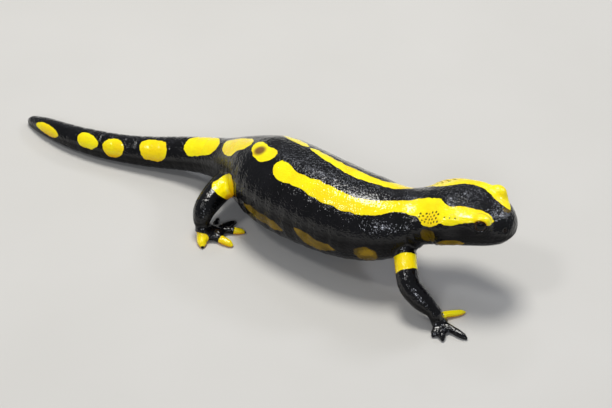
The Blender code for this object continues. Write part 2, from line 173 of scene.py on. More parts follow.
# Pores of the parotoid glands, in rows: degrees from the top, distance from the snout of the first pore,
# where the row stops, and the pores' radius
PORE_ROWS = (
    (38, 19.4, 25.2, 0.3), (44, 18.7, 25.2, 0.3), (48, 14.2, 18.0, 0.2), (50, 19.3, 25.2, 0.3),
    (55.5, 18.5, 25.2, 0.3),
)
PORES_IN_ROW = 6
PORE_STEP = 1.3
PORE_DEPTH = 0.2
# Eyes: distance from the snout, and outward and up from the line through the body
EYE_AT = 8.1
EYE_OUT = 6.9
EYE_UP = 4.1
EYE_RADIUS = 2.2
# Where an eye looks: shares of forward, outward and up
GAZE = (0.28, 0.94, 0.20)
# Half length and half height of the opening between the lids
EYE_OPENING = (2.0, 1.6)
LID_THICKNESS = 0.36
# Shares of the opening: where the skin climbs to the lid's rim, where the lid leaves the eyeball and where
# its shaping fades out
LID_EDGE = (0.98, 1.14)
LID_ENDS = (1.2, 1.6)
LID_FADES = (1.7, 2.2)
# A lid's shaping goes no further out than this from the eyeball's surface
LID_HEIGHT = 2.0
# How deep the skin lies under the eyeball's surface in the opening
UNDER_EYE = 0.25
# The cornea's bulge as a share of the radius, and how far forward it starts and is full, where 1 is foremost
CORNEA_BULGE = 0.05
CORNEA_RIM = (0.72, 0.98)
# The skin round the eyes is softened between these distances from their centres
ORBIT_FROM = 2.75
ORBIT_REACH = 4.8
ORBIT_ROUNDS = 12

# The two stripes of the back, from the head to the hip: distance from the snout, and the stripe's edges in
# degrees from the top, positive to the right
RIGHT_STRIPE = (
    (5.5, 35, 43), (5.9, 31, 46), (6.6, 27, 47), (7.6, 23, 46), (9.2, 23, 47), (10.4, 25, 50), (11.6, 25, 53),
    (12.6, 25, 54), (14.2, 25, 59), (15.2, 28, 61), (16.4, 30, 61), (17.6, 26, 59), (18.4, 20, 61),
    (19.2, 13, 62), (21.5, 9, 63), (23.8, 5, 63), (24.8, 5, 58), (25.4, 5, 47), (26.0, 6, 41), (27.2, 9, 41),
    (28.2, 10, 38),
    (30.7, 12, 34), (33.4, 16, 36), (36.0, 20, 41.5), (38.0, 22.5, 44), (42.0, 24, 46), (44.5, 24, 46),
    (47.3, 22, 44), (50.2, 21, 44), (53.4, 20.3, 41.7), (56.7, 22.7, 39.4), (59.9, 22.8, 39.2),
    (61.9, 20.8, 40.2), (63.9, 18.8, 40.2), (65.3, 16.8, 39.2), (66.6, 17, 35.5), (67.4, 20.5, 31),
    (67.8, 25, 27),
)
LEFT_STRIPE = (
    (3.4, -30, -22), (4.2, -42, -18), (5.6, -52, -16), (7.6, -52, -18), (9.6, -52, -24), (12.0, -56, -29),
    (14.8, -61, -29), (17.0, -61, -25), (18.4, -62, -19), (20.6, -63, -21), (23.0, -62, -32),
    (24.4, -58, -42), (25.2, -52, -48),
)
LEFT_STRIPE_TRUNK = (
    (27.4, -53, -46), (28.4, -53, -34), (29.8, -50, -25), (31.6, -46, -17), (33.2, -40, -12), (35.4, -27, -9),
    (38.0, -21.5, -7.5), (41.0, -21, -7), (44.0, -21.5, -6.5), (47.3, -23.5, -6.5), (50.5, -22.5, -8),
    (54.5, -23.5, -10.5), (58.8, -25, -13.5), (62.4, -27, -17.5), (64.4, -26, -19.5), (65.4, -24, -21),
)
LEFT_STRIPE_REAR = (
    (66.4, -25, -22), (68.5, -30, -19), (71.0, -34, -20), (73.5, -36, -21), (76.0, -35, -25),
    (77.6, -31, -28),
)
# Outlines of the spots on the hip and the tail: distance from the snout and angle
HIP_HEART = (
    (77.5, 23), (78.9, 13), (78.4, 4), (75.4, 6), (73.5, 9), (71.9, 7), (70.1, 11), (69.6, 20), (70.8, 28),
    (72.4, 32), (75.1, 30),
)
TAIL_WEDGE = (
    (92.9, 31), (93.9, 9), (90.9, 1), (86.7, -1), (82.7, 0), (80.2, 14), (81.2, 25), (83.7, 31), (85.2, 42),
    (88.4, 45), (91.6, 39),
)
TAIL_SLANT = (
    (109.4, 38), (109.4, 8), (108.0, -14), (104.3, -30), (99.6, -16), (97.0, 8), (95.9, 26), (97.8, 47),
    (101.8, 57), (107.4, 61),
)
TAIL_SQUARE = (
    (124.8, 44), (124.6, 18), (122.4, 3), (119.2, 5), (116.3, 18), (115.5, 57), (117.2, 87), (120.4, 91),
    (123.5, 80),
)
TAIL_ROUND = (
    (136.7, 61), (136.2, 31), (134.0, 14), (131.4, 18), (129.7, 45), (130.1, 79), (132.4, 101), (135.0, 97),
)
TAIL_FOURTH = (
    (145.3, 51), (145.1, 24), (143.4, 11), (140.5, 21), (138.4, 40), (138.2, 64), (140.1, 84), (142.6, 85),
    (144.5, 75),
)
TAIL_LAST = (
    (162.6, 54), (160.8, 33), (157.0, 30), (153.6, 47), (151.8, 67), (153.2, 88), (155.8, 98), (159.3, 87),
    (161.9, 75),
)
# The tail's spots are drawn this much smaller
TAIL_INSET = 0.14
# The far side of the tail, which the photograph doesn't show
FAR_TAIL_SPOTS = (
    ((92.0, -70), (95.0, -62), (99.0, -66), (101.0, -86), (97.0, -100), (92.6, -94)),
    ((108.6, -72), (112.0, -64), (115.0, -78), (114.0, -104), (110.0, -106), (108.0, -90)),
    ((124.0, -70), (128.0, -62), (131.0, -80), (129.0, -106), (124.6, -100)),
    ((146.0, -66), (150.0, -60), (153.6, -80), (150.6, -104), (146.0, -98)),
)
BRIGHT_PATCHES = (
    HIP_HEART, TAIL_WEDGE, TAIL_SLANT, TAIL_SQUARE, TAIL_ROUND, TAIL_FOURTH, TAIL_LAST, *FAR_TAIL_SPOTS,
)
# Duller patches, each with its strength. Their dull dark yellow and brown is partly the patches' own colour
# and partly painted shade of the low flanks, throat and belly. Four low on the near flank, the last of them
# the bright heart of the one before it, three on the far flank, three of the throat and cheeks, a brown fleck
# between them where the far stripe starts, and three of the belly. The photograph doesn't show the far flank
# and the belly
DULL_AND_SHADED_PATCHES = (
    (0.55, (
        (73.5, 93), (69.8, 90), (65.9, 93), (62.5, 95), (60.2, 106), (62.9, 111), (66.6, 107), (70.0, 104),
    )),
    (0.7, (
        (55.9, 91), (52.8, 91), (49.7, 98), (46.8, 101), (45.4, 108), (48.4, 117), (51.6, 118), (53.8, 108),
    )),
    (0.6, ((41.2, 103), (40.0, 95), (38.0, 95), (36.8, 107), (37.2, 125), (38.9, 134), (40.4, 124))),
    (1.0, ((40.0, 101), (38.9, 99), (37.7, 100), (37.3, 106), (37.8, 113), (38.9, 113), (39.9, 109))),
    (0.8, ((72.0, -94), (67.0, -90), (61.0, -98), (58.0, -110), (63.0, -112), (69.0, -104))),
    (0.8, ((52.0, -92), (47.0, -94), (43.6, -104), (46.0, -116), (50.6, -112))),
    (0.8, ((39.0, -100), (36.4, -104), (35.8, -122), (38.2, -130), (40.2, -116))),
    (0.3, ((24.5, 70), (21.0, 72), (20.6, 86), (22.2, 104), (24.6, 106), (25.8, 90))),
    (0.8, (
        (22.0, 112), (18.4, 102), (15.5, 97), (13.2, 99), (11.4, 107), (12.4, 124), (16.2, 127), (21.0, 126),
    )),
    (0.35, ((5.0, -6), (4.4, -16), (3.6, -26), (3.0, -20), (3.4, -8), (4.2, -2))),
    (0.7, ((20.0, -106), (16.4, -98), (12.6, -104), (13.4, -122), (17.4, -128), (20.6, -122))),
    (0.8, ((48.0, 160), (43.0, 158), (41.0, 172), (45.0, 184), (49.0, 174))),
    (0.8, ((62.0, 190), (57.0, 184), (54.0, 196), (58.0, 206), (62.0, 202))),
    (0.8, ((77.0, 168), (72.0, 164), (69.0, 178), (73.0, 190), (77.4, 182))),
)
# The brown stain on the hip's spot: distance from the snout, angle and radius
HIP_STAIN = (75.0, 19.0, 2.4)
# Yellow bands round the upper arms: limb, from and to along the leg, and how far they reach from its middle
CUFFS = (
    (FRONT_RIGHT, 7.4, 11.7),
    (FRONT_LEFT, 7.6, 11.8),
)
CUFF_REACH = 4.6
# The spot on the near thigh and hip: its middle from where the leg stands, and its outline across and up as
# the camera sees it
THIGH_SPOT = (
    (6.2, 12.3, 12.4),
    ((-3.1, 0.9), (-1.2, 2.5), (1.9, 3.9), (3.1, 1.4), (3.2, -1.1), (2.1, -3.6), (0.2, -2.9), (-2.2, -1.2)),
)
# How far behind its middle the spot still reaches, and where across it the orange starts and is full: a
# painted shade on the rim that tucks against the body
THIGH_SPOT_DEPTH = 4.0
THIGH_ORANGE_SHADE = (1.6, 3.4)
# The spot on the far thigh, a guess: limb, middle and half sizes
FAR_THIGH_SPOT = (HIND_LEFT, (-3.0, 10.0, 10.0), (3.6, 3.2, 3.0))
# Yellow toes: limb, toe, and where the yellow starts and ends in millimetres back from the tip. Each toe's
# line runs on past its root by a share of its length
YELLOW_TOES = (
    (FRONT_RIGHT, 3, 7.0, -1.0), (FRONT_LEFT, 3, 5.6, -1.0), (FRONT_LEFT, 0, 3.6, -1.0),
    (HIND_RIGHT, 0, 6.6, 0.3), (HIND_RIGHT, 1, 4.4, 0.2), (HIND_RIGHT, 2, 3.5, 0.4),
    (HIND_LEFT, 1, 4.4, 0.4), (HIND_LEFT, 3, 4.6, 0.4),
)
TOE_TIP_HEIGHT = 0.6
TOE_REACH = 2.2
PAST_ROOT = 0.3
# Values of a place far outside all markings, and far outside one patch
NOWHERE = -9.0
MARGIN = 3.0


def smooth(table, at):
    """Values of a table, joined by curves that never overshoot its rows."""
    table = np.asarray(table, float)
    x, y = table[:, 0], table[:, 1:]
    width = np.diff(x)[:, None]
    slope = np.diff(y, axis=0) / width
    mean = (width[1:] * slope[:-1] + width[:-1] * slope[1:]) / (width[1:] + width[:-1])
    limit = 2 * np.minimum(abs(slope[:-1]), abs(slope[1:]))
    inner = np.where(slope[:-1] * slope[1:] > 0, np.sign(mean) * np.minimum(abs(mean), limit), 0)
    tangent = np.vstack([slope[:1], inner, slope[-1:]])
    at = np.clip(np.atleast_1d(np.asarray(at, float)), x[0], x[-1])
    i = np.clip(np.searchsorted(x, at, side="right") - 1, 0, len(x) - 2)
    t = ((at - x[i]) / (x[i + 1] - x[i]))[:, None]
    return (
        (1 + 2 * t) * (1 - t) ** 2 * y[i]
        + t * (1 - t) ** 2 * width[i] * tangent[i]
        + t * t * (3 - 2 * t) * y[i + 1]
        + t * t * (t - 1) * width[i] * tangent[i + 1]
    )


def lay_spine():
    """The line through the body every STEP from the snout, with its forward, right and up directions."""
    at = np.arange(0, LENGTH + STEP / 2, STEP)
    rows = smooth(SPINE, at)
    heading = np.radians(rows[:, 0])
    climb = np.gradient(rows[:, 1], STEP)
    flat = np.sqrt(1 - climb**2)
    x = -np.concatenate([[0], np.cumsum((np.cos(heading) * flat)[:-1] * STEP)])
    y = -np.concatenate([[0], np.cumsum((np.sin(heading) * flat)[:-1] * STEP)])
    centre = np.stack([x, y, rows[:, 1]], 1)
    forward = -np.stack([np.gradient(x, STEP), np.gradient(y, STEP), climb], 1)
    forward /= np.linalg.norm(forward, axis=1)[:, None]
    right = np.cross(forward, [0, 0, 1.0])
    right /= np.linalg.norm(right, axis=1)[:, None]
    return at, centre - ORIGIN, forward, right, np.cross(right, forward), heading


AT, CENTRE, FORWARD, RIGHT, UP, HEADING = lay_spine()


def frames_at(s):
    """Centres, forwards, rights and ups at these distances from the snout. Past both ends the line goes
    straight on."""
    inside = np.clip(np.atleast_1d(s), 0, LENGTH)
    found = []
    for rows in (CENTRE, FORWARD, RIGHT, UP):
        found.append(np.stack([np.interp(inside, AT, rows[:, k]) for k in range(3)], 1))
    centre, forward, right, up = found
    return centre + forward * (inside - s)[:, None], forward, right, up


def frame_at(s):
    """Centre, forward, right and up at one distance from the snout."""
    return [rows[0] for rows in frames_at(np.array([s]))]


def hump(value, centre, spread):
    """A smooth bump: 1 at centre and 0.37 at spread from it."""
    return np.exp(-(((value - centre) / spread) ** 2))


def ramp(value, start, end):
    """Rises smoothly from 0 at start to 1 at end."""
    t = np.clip((value - start) / (end - start), 0, 1)
    return t * t * (3 - 2 * t)


def body_place(points):
    """For each point: distance from the snout, angle in degrees, distance out as a share of the outline,
    height over the line through the body, and millimetres of skin for a degree of angle."""
    # nearest of every tenth place of the line, in blocks that keep the table of distances small
    coarse = slice(None, None, 10)
    s = np.empty(len(points))
    for start in range(0, len(points), BLOCK):
        part = slice(start, start + BLOCK)
        far = ((points[part, None, :] - CENTRE[None, coarse, :]) ** 2).sum(2)
        s[part] = AT[coarse][far.argmin(1)]
    # then three steps along the line towards the place that is square to the point
    for _ in range(3):
        centre, forward, right, up = frames_at(s)
        s = np.clip(s - ((points - centre) * forward).sum(1), -2, LENGTH + 2)
    centre, forward, right, up = frames_at(s)
    across = ((points - centre) * right).sum(1)
    upward = ((points - centre) * up).sum(1)
    half, top, bottom = smooth(SECTIONS, s).T
    x = across / half
    y = upward / np.where(upward > 0, top, bottom)
    degree = np.radians(1) * (half + (top + bottom) / 2) / 2
    return s, np.degrees(np.arctan2(x, y)), np.hypot(x, y), upward, degree


def limb_point(limb, forward, outward, height):
    """A place of a limb's table as a point of the model."""
    centre = frame_at(limb["at"])[0]
    heading = np.interp(limb["at"], AT, HEADING)
    ahead = np.array([np.cos(heading), np.sin(heading), 0])
    aside = np.array([np.sin(heading), -np.cos(heading), 0]) * limb["side"]
    return np.array([centre[0], centre[1], 0]) + ahead * forward + aside * outward + np.array([0, 0, height])


def camera_axes():
    """Across, up and back of the camera of the photograph."""
    turn, rise = np.radians([CAMERA_TURN, CAMERA_RISE])
    across = np.array([np.cos(turn), np.sin(turn), 0])
    back = np.array([np.sin(turn) * np.cos(rise), -np.cos(turn) * np.cos(rise), np.sin(rise)])
    return across, np.cross(back, across), back


def along_rod(points, start, end):
    """Share of the way from start to end, and distance from the rod, for each point."""
    way = end - start
    share = np.clip(((points - start) @ way) / (way @ way), 0, 1)
    return share, np.linalg.norm(points - start - share[:, None] * way, axis=1)


def leg_place(limb, points):
    """Distance along the leg from its first row, and distance from its middle line."""
    rows = [limb_point(limb, *row[:3]) for row in limb["leg"]]
    best = np.full(len(points), 1e9)
    along = np.zeros(len(points))
    run = 0.0
    for start, end in zip(rows, rows[1:]):
        share, away = along_rod(points, start, end)
        length = np.linalg.norm(end - start)
        nearer = away < best
        best = np.where(nearer, away, best)
        along = np.where(nearer, run + share * length, along)
        run += length
    return along, best


def deselect():
    bpy.ops.object.select_all(action="DESELECT")


def choose(item):
    deselect()
    item.select_set(True)
    bpy.context.view_layer.objects.active = item


def apply_modifier(item, kind, **settings):
    modifier = item.modifiers.new(kind.title(), kind)
    for name, value in settings.items():
        setattr(modifier, name, value)
    choose(item)
    bpy.ops.object.modifier_apply(modifier=modifier.name)


def points_of(item):
    flat = np.empty(len(item.data.vertices) * 3)
    item.data.vertices.foreach_get("co", flat)
    return flat.reshape(-1, 3) / MM


def normals_of(item):
    flat = np.empty(len(item.data.vertices) * 3)
    item.data.vertex_normals.foreach_get("vector", flat)
    return flat.reshape(-1, 3)


def set_points(item, points):
    item.data.vertices.foreach_set("co", (points * MM).ravel())
    item.data.update()


def store(item, name, values):
    layer = item.data.attributes.new(name, "FLOAT", "POINT")
    layer.data.foreach_set("value", np.ascontiguousarray(values, np.float32))


def relax(item, rounds):
    """Smooths without shrinking: a step in, then a slightly longer step out."""
    for _ in range(rounds):
        apply_modifier(item, "SMOOTH", factor=0.5, iterations=1)
        apply_modifier(item, "SMOOTH", factor=-0.52, iterations=1)


def grown_copy(names, name):
    """One mesh of copies of these solids, each grown past the cut to its neighbours."""
    copies = []
    for solid in names:
        twin = bpy.data.objects.new(name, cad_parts[solid].data.copy())
        bpy.context.scene.collection.objects.link(twin)
        copies.append(twin)
    deselect()
    for twin in copies:
        twin.select_set(True)
    bpy.context.view_layer.objects.active = copies[0]
    bpy.ops.object.join()
    joined = bpy.context.view_layer.objects.active
    joined.name = name
    bpy.ops.object.mode_set(mode="EDIT")
    bpy.ops.mesh.select_all(action="SELECT")
    bpy.ops.mesh.remove_doubles(threshold=0.001 * MM)
    bpy.ops.object.mode_set(mode="OBJECT")
    apply_modifier(joined, "DISPLACE", strength=GROW * MM, mid_level=0.0)
    return joined


def select_vertices(item, chosen):
    """Selects these vertices for edit mode."""
    bpy.ops.object.mode_set(mode="EDIT")
    bpy.ops.mesh.select_mode(type="VERT")
    bpy.ops.mesh.select_all(action="DESELECT")
    bpy.ops.object.mode_set(mode="OBJECT")
    item.data.vertices.foreach_set("select", chosen)
    bpy.ops.object.mode_set(mode="EDIT")


def eye_frame(side):
    """Centre of the eye, where it looks, and its length and height directions."""
    centre, forward, right, up = frame_at(EYE_AT)
    middle = centre + right * EYE_OUT * side + up * EYE_UP
    gaze = forward * GAZE[0] + right * side * GAZE[1] + up * GAZE[2]
    gaze /= np.linalg.norm(gaze)
    length = forward - gaze * (forward @ gaze)
    length /= np.linalg.norm(length)
    height = np.cross(length, gaze)
    height *= np.sign(height @ up)
    return middle, gaze, length, height


def soften_orbits(item):
    """Lets the bulges of the eyes flow into the head."""
    points = points_of(item)
    chosen = np.zeros(len(points), bool)
    for side in (-1, 1):
        size = np.linalg.norm(points - eye_frame(side)[0], axis=1)
        chosen |= (size > ORBIT_FROM) & (size < ORBIT_REACH)
    select_vertices(item, chosen)
    bpy.ops.mesh.vertices_smooth(factor=0.5, repeat=ORBIT_ROUNDS)
    bpy.ops.object.mode_set(mode="OBJECT")


def shape_lids(points):
    """Lets the lids lie on the eyeball round an oval opening."""
    for side in (-1, 1):
        middle, gaze, length, height = eye_frame(side)
        away = points - middle
        size = np.linalg.norm(away, axis=1)
        opening = np.hypot(away @ length / EYE_OPENING[0], away @ height / EYE_OPENING[1])
        near = (away @ gaze > 0) & (size < EYE_RADIUS + LID_HEIGHT) & (opening < LID_FADES[1])
        rim = EYE_RADIUS + LID_THICKNESS
        own = ramp(opening, *LID_ENDS)
        lid = rim * (1 - own) + np.maximum(size, rim) * own
        inside = EYE_RADIUS - UNDER_EYE
        target = inside + (lid - inside) * ramp(opening, *LID_EDGE)
        keep = ramp(opening, *LID_FADES)
        target = target * (1 - keep) + size * keep
        points = np.where(near[:, None], middle + away * (target / size)[:, None], points)
    return points


def relief(s, angle, out, upward):
    """Millimetres by which the skin stands out of the smooth form."""
    side = abs(angle)
    # 1 on the body, 0 on the limbs, which stand out of its outline
    body = ramp(out, 1.25, 1.05)
    # costal grooves, deepest half way down the flanks
    trunk = ramp(s, COSTAL_FIRST - 3, COSTAL_FIRST + 1) * ramp(s, COSTAL_LAST + 1, COSTAL_LAST - 3)
    phase = 2 * np.pi * (s - COSTAL_FIRST) / COSTAL_PERIOD
    rise = -COSTAL_DEPTH * body * trunk * hump(side, 95, 48) * ((1 + np.cos(phase)) / 2) ** 6
    # creases of the flanks, which wander round the body
    wander = 0.5 * np.sin(side / 13.0 + s * 0.31)
    coarse, fine = [2 * np.pi * s / period for period in CREASE_PERIODS]
    creases = np.sin(coarse + 2.3 * np.sin(side / 21.0) + 1.1 * np.sin(s * 0.83))
    creases += np.sin(fine + 1.7 * np.sin(side / 15.0 + 1.0) + wander)
    creases *= ramp(s, 28, 36) * ramp(s, 100, 86) * ramp(side, 46, 70) * ramp(side, 178, 140)
    rise += CREASE_DEPTH * body * creases
    # rings of the tail
    rings = np.sin(2 * np.pi * s / RING_PERIOD)
    rise -= RING_DEPTH * body * ramp(rings, 0.55, 1.0) * ramp(s, 96, 104) * ramp(s, 162, 150)
    # folds of the throat, which bend forward as they rise
    for place, depth, width in THROAT_FOLDS:
        bent = place + 0.8 * np.sin(side / 26.0)
        rise -= depth * body * hump(s, bent, width) * ramp(side, 60, 95)
    # the vent, with a lip on each side of its slit
    rise -= VENT_DEPTH * hump(s, VENT_AT, VENT_LENGTH / 2) * (hump(side, 180, 3) - 0.4 * hump(side, 171, 4))
    # the mouth: a narrow groove, with the lower lip set back under the upper one
    from_mouth = upward - smooth(MOUTH, s)[:, 0]
    lips = ramp(s, MOUTH_CORNER + 0.5, MOUTH_CORNER - 1.2)
    rise -= MOUTH_DEPTH * lips * hump(from_mouth, 0, MOUTH_WIDTH / 2)
    rise += UPPER_LIP * lips * hump(from_mouth, 0.7, 0.5)
    rise -= LOWER_LIP * lips * ramp(from_mouth, 0.0, -0.1) * ramp(from_mouth, -2.4, -0.4)
    return rise


def nostril_dents(points):
    """Closeness to the nostrils, from 0 to 1."""
    centre, _, right, up = frame_at(NOSTRIL_AT)
    half, top, _ = smooth(SECTIONS, NOSTRIL_AT)[0]
    turn = np.radians(NOSTRIL_ANGLE)
    dent = np.zeros(len(points))
    for side in (-1, 1):
        hole = centre + right * side * half * np.sin(turn) + up * top * np.cos(turn)
        away = np.linalg.norm(points - hole, axis=1)
        dent = np.maximum(dent, hump(away, 0, NOSTRIL_RADIUS))
    return dent


def pore_field(s, angle, degree):
    """Closeness to the pores of the parotoid glands, from 0 to 1."""
    random = np.random.default_rng(7)
    field = np.zeros(len(s))
    places = []
    for turn, first, last, radius in PORE_ROWS:
        for step in range(PORES_IN_ROW):
            place = first + step * PORE_STEP + random.uniform(-0.15, 0.15)
            if place < last:
                places.append((place, turn + random.uniform(-1, 1), radius))
    for side in (-1, 1):
        for place, turn, radius in places:
            away = np.hypot(s - place, (angle - side * turn) * degree)
            field = np.maximum(field, hump(away, 0, radius))
    return field


def stripe(rows, s, angle, degree):
    """Millimetres inside a stripe, negative outside it."""
    edges = smooth(rows, s)
    inside = np.minimum(angle - edges.min(1), edges.max(1) - angle) * degree
    ends = np.minimum(s - rows[0][0], rows[-1][0] - s)
    return np.minimum(inside, ends)


def closed_curve(corners, steps=5):
    """A smooth closed line through the corners."""
    corners = np.asarray(corners, float)
    before, after, beyond = np.roll(corners, 1, 0), np.roll(corners, -1, 0), np.roll(corners, -2, 0)
    square = 2 * before - 5 * corners + 4 * after - beyond
    cube = 3 * corners - before - 3 * after + beyond
    rows = []
    for t in np.arange(steps) / steps:
        rows.append(0.5 * (2 * corners + (after - before) * t + square * t * t + cube * t**3))
    return np.stack(rows, 1).reshape(-1, 2)


def within(line, places):
    """How far each place of a plane lies inside a closed line, negative outside it, -MARGIN far outside."""
    near = (places > line.min(0) - MARGIN).all(1) & (places < line.max(0) + MARGIN).all(1)
    result = np.full(len(places), -MARGIN)
    point = places[near]
    nearest = np.full(len(point), 1e9)
    crossings = np.zeros(len(point), int)
    for start, end in zip(line, np.roll(line, -1, 0)):
        nearest = np.minimum(nearest, along_rod(point, start, end)[1])
        level = (start[1] > point[:, 1]) != (end[1] > point[:, 1])
        rise = end[1] - start[1] if abs(end[1] - start[1]) > 1e-9 else 1e-9
        crossings += level & (point[:, 0] < start[0] + (end[0] - start[0]) * (point[:, 1] - start[1]) / rise)
    result[near] = np.where(crossings % 2 == 1, nearest, -nearest)
    return result


def patch(corners, s, angle, degree):
    """Millimetres inside a patch of the skin, negative outside it, with the skin laid flat."""
    line = closed_curve(corners)
    middle = line[:, 1].mean()
    half, top, bottom = smooth(SECTIONS, line[:, 0]).T
    line[:, 1] = (line[:, 1] - middle) * np.radians(1) * (half + (top + bottom) / 2) / 2
    return within(line, np.stack([s, ((angle - middle + 180) % 360 - 180) * degree], 1))


def yellow_toes(limb, points):
    """Millimetres inside the yellow of this limb's toes."""
    yellow = np.full(len(points), NOWHERE)
    tips = [limb_point(limb, toe[0], toe[1], TOE_TIP_HEIGHT) for toe in limb["toes"]]
    roots = [limb_point(limb, toe[2], toe[3], PALM_HEIGHT) for toe in limb["toes"]]
    rods = [along_rod(points, tip, root + (root - tip) * PAST_ROOT) for tip, root in zip(tips, roots)]
    nearest = np.argmin([away for _, away in rods], axis=0)
    for painted, toe, start, end in YELLOW_TOES:
        if painted is limb:
            share, away = rods[toe]
            back = share * np.linalg.norm(roots[toe] - tips[toe]) * (1 + PAST_ROOT)
            band = np.minimum(np.minimum(start - back, back - end), TOE_REACH - away)
            yellow = np.where(nearest == toe, np.maximum(yellow, band), yellow)
    return yellow


def thigh_spot(points):
    """Millimetres inside the near thigh's spot, and how far towards its orange edge, painted shade where it
    tucks against the body, each point lies.
    """
    middle, corners = THIGH_SPOT
    across, up, back = camera_axes()
    away = points - limb_point(HIND_RIGHT, *middle)
    inside = within(closed_curve(corners), np.stack([away @ across, away @ up], 1))
    return np.minimum(inside, away @ back + THIGH_SPOT_DEPTH), ramp(away @ across, *THIGH_ORANGE_SHADE)


def markings(points, s, angle, out, degree):
    """Millimetres inside the yellow and inside the duller patches, which are partly painted shade, how strong
    these are, and how far the yellow on the thigh is painted orange as shade."""
    scallop = SCALLOP * np.cos(2 * np.pi * (s - COSTAL_FIRST) / COSTAL_PERIOD)
    trunk = ramp(s, 34, 38) * ramp(s, 68, 64)
    yellow = np.full(len(s), NOWHERE)
    for rows in (RIGHT_STRIPE, LEFT_STRIPE, LEFT_STRIPE_TRUNK, LEFT_STRIPE_REAR):
        yellow = np.maximum(yellow, stripe(rows, s, angle, degree) - scallop * trunk)
    for corners in BRIGHT_PATCHES:
        yellow = np.maximum(yellow, patch(corners, s, angle, degree) - TAIL_INSET * ramp(s, 108, 114))
    # the duller patches: partly their own colour, partly painted shade of the low flanks, throat and belly
    dull_and_shade = np.full(len(s), NOWHERE)
    strength = np.zeros(len(s))
    for power, corners in DULL_AND_SHADED_PATCHES:
        inside = patch(corners, s, angle, degree)
        strength = np.where(inside > np.minimum(dull_and_shade, 0), power, strength)
        dull_and_shade = np.maximum(dull_and_shade, inside)
    # behind the head the body's own markings end where the limbs stand out of its outline
    on_limb = np.clip((out - 1.22) * 20, 0, -NOWHERE) * ramp(s, 18, 26)
    yellow -= on_limb
    dull_and_shade -= on_limb
    for limb, start, end in CUFFS:
        along, away = leg_place(limb, points)
        band = np.minimum(np.minimum(along - start, end - along), CUFF_REACH - away)
        yellow = np.maximum(yellow, np.minimum(band, (out - 1.02) * 12))
    # painted shade: the thigh spot's rim against the body is painted orange
    spot, orange_shade = thigh_spot(points)
    orange_shade = np.where(spot > -0.3, orange_shade, 0)
    yellow = np.maximum(yellow, spot)
    limb, place, sizes = FAR_THIGH_SPOT
    away = (points - limb_point(limb, *place)) / sizes
    yellow = np.maximum(yellow, (1 - np.linalg.norm(away, axis=1)) * min(sizes))
    for limb in LIMBS:
        yellow = np.maximum(yellow, yellow_toes(limb, points))
    return yellow, dull_and_shade, strength, orange_shade


def build_skin():
    """One closed skin over all the solids, with its relief and the values that the material paints by."""
    flesh = sorted(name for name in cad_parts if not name.startswith("eye"))
    skin = grown_copy(flesh + ["eye_right", "eye_left"], "salamander_skin")
    apply_modifier(skin, "REMESH", mode="VOXEL", voxel_size=VOXEL * MM)
    apply_modifier(skin, "DISPLACE", strength=-GROW * MM, mid_level=0.0)
    relax(skin, SMOOTH_ROUNDS)
    s = body_place(points_of(skin))[0]
    select_vertices(skin, s < HEAD_FINE_TO)
    bpy.ops.mesh.subdivide(number_cuts=1)
    bpy.ops.object.mode_set(mode="OBJECT")
    relax(skin, HEAD_ROUNDS)
    soften_orbits(skin)
    points = shape_lids(points_of(skin))
    set_points(skin, points)
    s, angle, out, upward, degree = body_place(points)
    pores = pore_field(s, angle, degree)
    nostrils = nostril_dents(points)
    rise = relief(s, angle, out, upward) - PORE_DEPTH * pores - NOSTRIL_DEPTH * nostrils
    points = points + normals_of(skin) * rise[:, None]
    points[:, 2] = np.where(points[:, 2] < FOOTING, 0.0, points[:, 2])
    set_points(skin, points)
    yellow, dull_and_shade, strength, orange_shade = markings(points, s, angle, out, degree)
    store(skin, "yellow", yellow)
    # 0 where the skin faces up, 1 where it faces down and on the thigh spot's tucked rim: the share of
    # painted orange shade on the yellow, and of thinner film
    store(skin, "underside_shade", np.maximum(ramp(-normals_of(skin)[:, 2], *FACING_DOWN), orange_shade))
    # the duller patches, partly painted shade
    store(skin, "dull_and_shade", dull_and_shade)
    store(skin, "strength", strength)
    # dark of the pores and nostrils: partly the pores' own dark, partly painted shade in their dents
    store(skin, "pore_and_hole_shade", np.maximum(pores, nostrils))
    stain_at, stain_angle, stain_size = HIP_STAIN
    store(skin, "stain", 1 - np.hypot(s - stain_at, (angle - stain_angle) * degree) / stain_size)
    bpy.ops.object.shade_smooth()
    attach(skin, "root")
    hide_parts(*flesh)
    return skin


def build_eye(name, side):
    """A round eyeball with a clear bulge in front."""
    middle, gaze, _, _ = eye_frame(side)
    deselect()
    bpy.ops.mesh.primitive_uv_sphere_add(
        segments=64, ring_count=40, radius=EYE_RADIUS * MM, location=middle * MM,
        rotation=Vector(gaze).to_track_quat("Z", "Y").to_euler(),
    )
    eye = bpy.context.view_layer.objects.active
    eye.name = name
    bpy.ops.object.transform_apply(location=True, rotation=True, scale=True)
    points = points_of(eye)
    away = points - middle
    front = away @ gaze / EYE_RADIUS
    points = middle + away * (1 + CORNEA_BULGE * ramp(front, *CORNEA_RIM))[:, None]
    set_points(eye, points)
    bpy.ops.object.shade_smooth()
    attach(eye, "root")
    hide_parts("eye_right" if side > 0 else "eye_left")
    return eye


def colour(code):
    """A linear colour from an sRGB hex code."""
    parts = [int(code[k:k + 2], 16) / 255 for k in (1, 3, 5)]
    return (*[c / 12.92 if c <= 0.04045 else ((c + 0.055) / 1.055) ** 2.4 for c in parts], 1.0)


def node(tree, kind, output, inputs, **settings):
    """Adds a node with its settings, and values or sockets for its inputs, and gives one of its outputs."""
    made = tree.nodes.new(kind)
    for name, value in settings.items():
        setattr(made, name, value)
    for name, value in inputs.items():
        if isinstance(value, bpy.types.NodeSocket):
            tree.links.new(value, made.inputs[name])
        else:
            made.inputs[name].default_value = value
    return made.outputs[output]


def new_material(name):
    made = bpy.data.materials.new(name)
    made.use_nodes = True
    tree = made.node_tree
    return made, tree, tree.nodes["Principled BSDF"]


